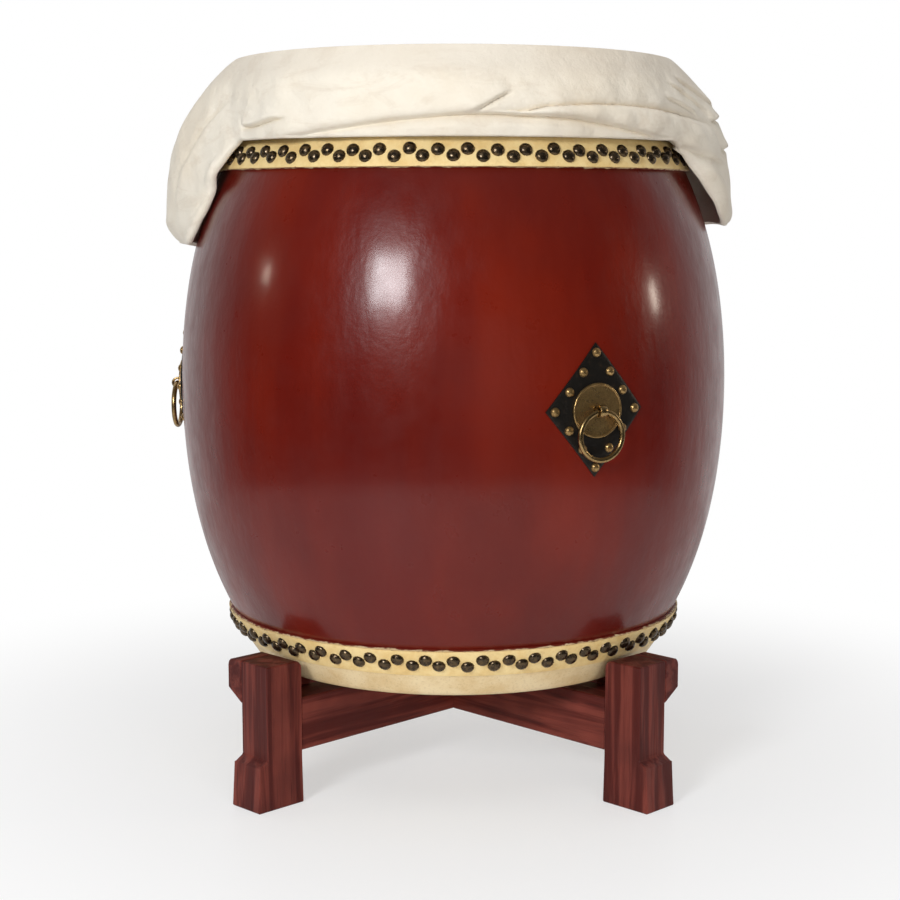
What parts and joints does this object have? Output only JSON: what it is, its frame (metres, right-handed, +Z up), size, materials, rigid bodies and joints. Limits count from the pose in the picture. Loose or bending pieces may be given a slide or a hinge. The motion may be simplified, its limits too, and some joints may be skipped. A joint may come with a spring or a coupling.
{
  "type": "taiko drum",
  "caption": "Barrel drum with tacked heads and ring handles, standing on end on a crossed wooden stand under a soft draped cover.",
  "frame": {"origin": "on the floor, on the drum's axis, which is the middle of the box's bottom to within a few millimetres", "axes": "+Z up along the drum's axis, -Y towards the front where the cover's hem is short, +X to the viewer's right"},
  "size_m": [0.6234, 0.5988, 0.7755],
  "materials": {
    "red_lacquer": "glossy red lacquer over wood",
    "rawhide": "pale rawhide, satin",
    "tack_band": "yellow varnished hide",
    "black_iron": "black forged iron with worn edges",
    "aged_brass": "aged brass",
    "stained_wood": "dark red stained wood, satin, worn edges",
    "cover_hide": "soft undyed hide, matte, mottled",
    "felt": "thick felt"
  },
  "bodies": {
    "stand": {"beam_upper": "stained_wood", "beam_lower": "stained_wood", "post_front_right": "stained_wood", "post_front_left": "stained_wood", "post_rear_right": "stained_wood", "post_rear_left": "stained_wood", "rest_block_front_right": "stained_wood", "rest_block_front_left": "stained_wood", "rest_block_rear_right": "stained_wood", "rest_block_rear_left": "stained_wood", "dowel_front_right_1": "stained_wood", "dowel_front_right_2": "stained_wood", "dowel_front_left_1": "stained_wood", "dowel_front_left_2": "stained_wood", "dowel_rear_right_1": "stained_wood", "dowel_rear_right_2": "stained_wood", "dowel_rear_left_1": "stained_wood", "dowel_rear_left_2": "stained_wood"},
    "drum": {"shell": "red_lacquer", "top_head": "rawhide", "bottom_head": "rawhide", "top_tack_band": "tack_band", "bottom_tack_band": "tack_band", "handle_plate_front": "black_iron", "handle_plate_left": "black_iron", "handle_plate_rear": "black_iron", "handle_boss_front": "aged_brass", "handle_boss_left": "aged_brass", "handle_boss_rear": "aged_brass", "handle_eye_front": "black_iron", "handle_eye_left": "black_iron", "handle_eye_rear": "black_iron", "handle_washer_front": "black_iron", "handle_washer_left": "black_iron", "handle_washer_rear": "black_iron"},
    "cover": {"cover_hide": "cover_hide", "cover_pad": "felt"},
    "ring_front": {"handle_ring_front": "aged_brass"},
    "ring_left": {"handle_ring_left": "aged_brass"},
    "ring_rear": {"handle_ring_rear": "aged_brass"}
  },
  "joints": [
    {"name": "drum_lift", "type": "slide", "parent": "stand", "child": "drum", "axis": [0, 0, 1], "range_m": [0, 0.2]},
    {"name": "cover_lift", "type": "slide", "parent": "drum", "child": "cover", "axis": [0, 0, 1], "range_m": [0, 0.25]},
    {"name": "ring_front_swing", "type": "hinge", "parent": "drum", "child": "ring_front", "pos_m": [0.1436, -0.27586, 0.4212], "axis": [-0.887, -0.4617, 0], "range_deg": [-3, 165]},
    {"name": "ring_left_swing", "type": "hinge", "parent": "drum", "child": "ring_left", "pos_m": [-0.3107, 0.01357, 0.4212], "axis": [0.0436, 0.999, 0], "range_deg": [-3, 165]},
    {"name": "ring_rear_swing", "type": "hinge", "parent": "drum", "child": "ring_rear", "pos_m": [0.1671, 0.2623, 0.4212], "axis": [0.8434, -0.5373, 0], "range_deg": [-3, 165]}
  ]
}
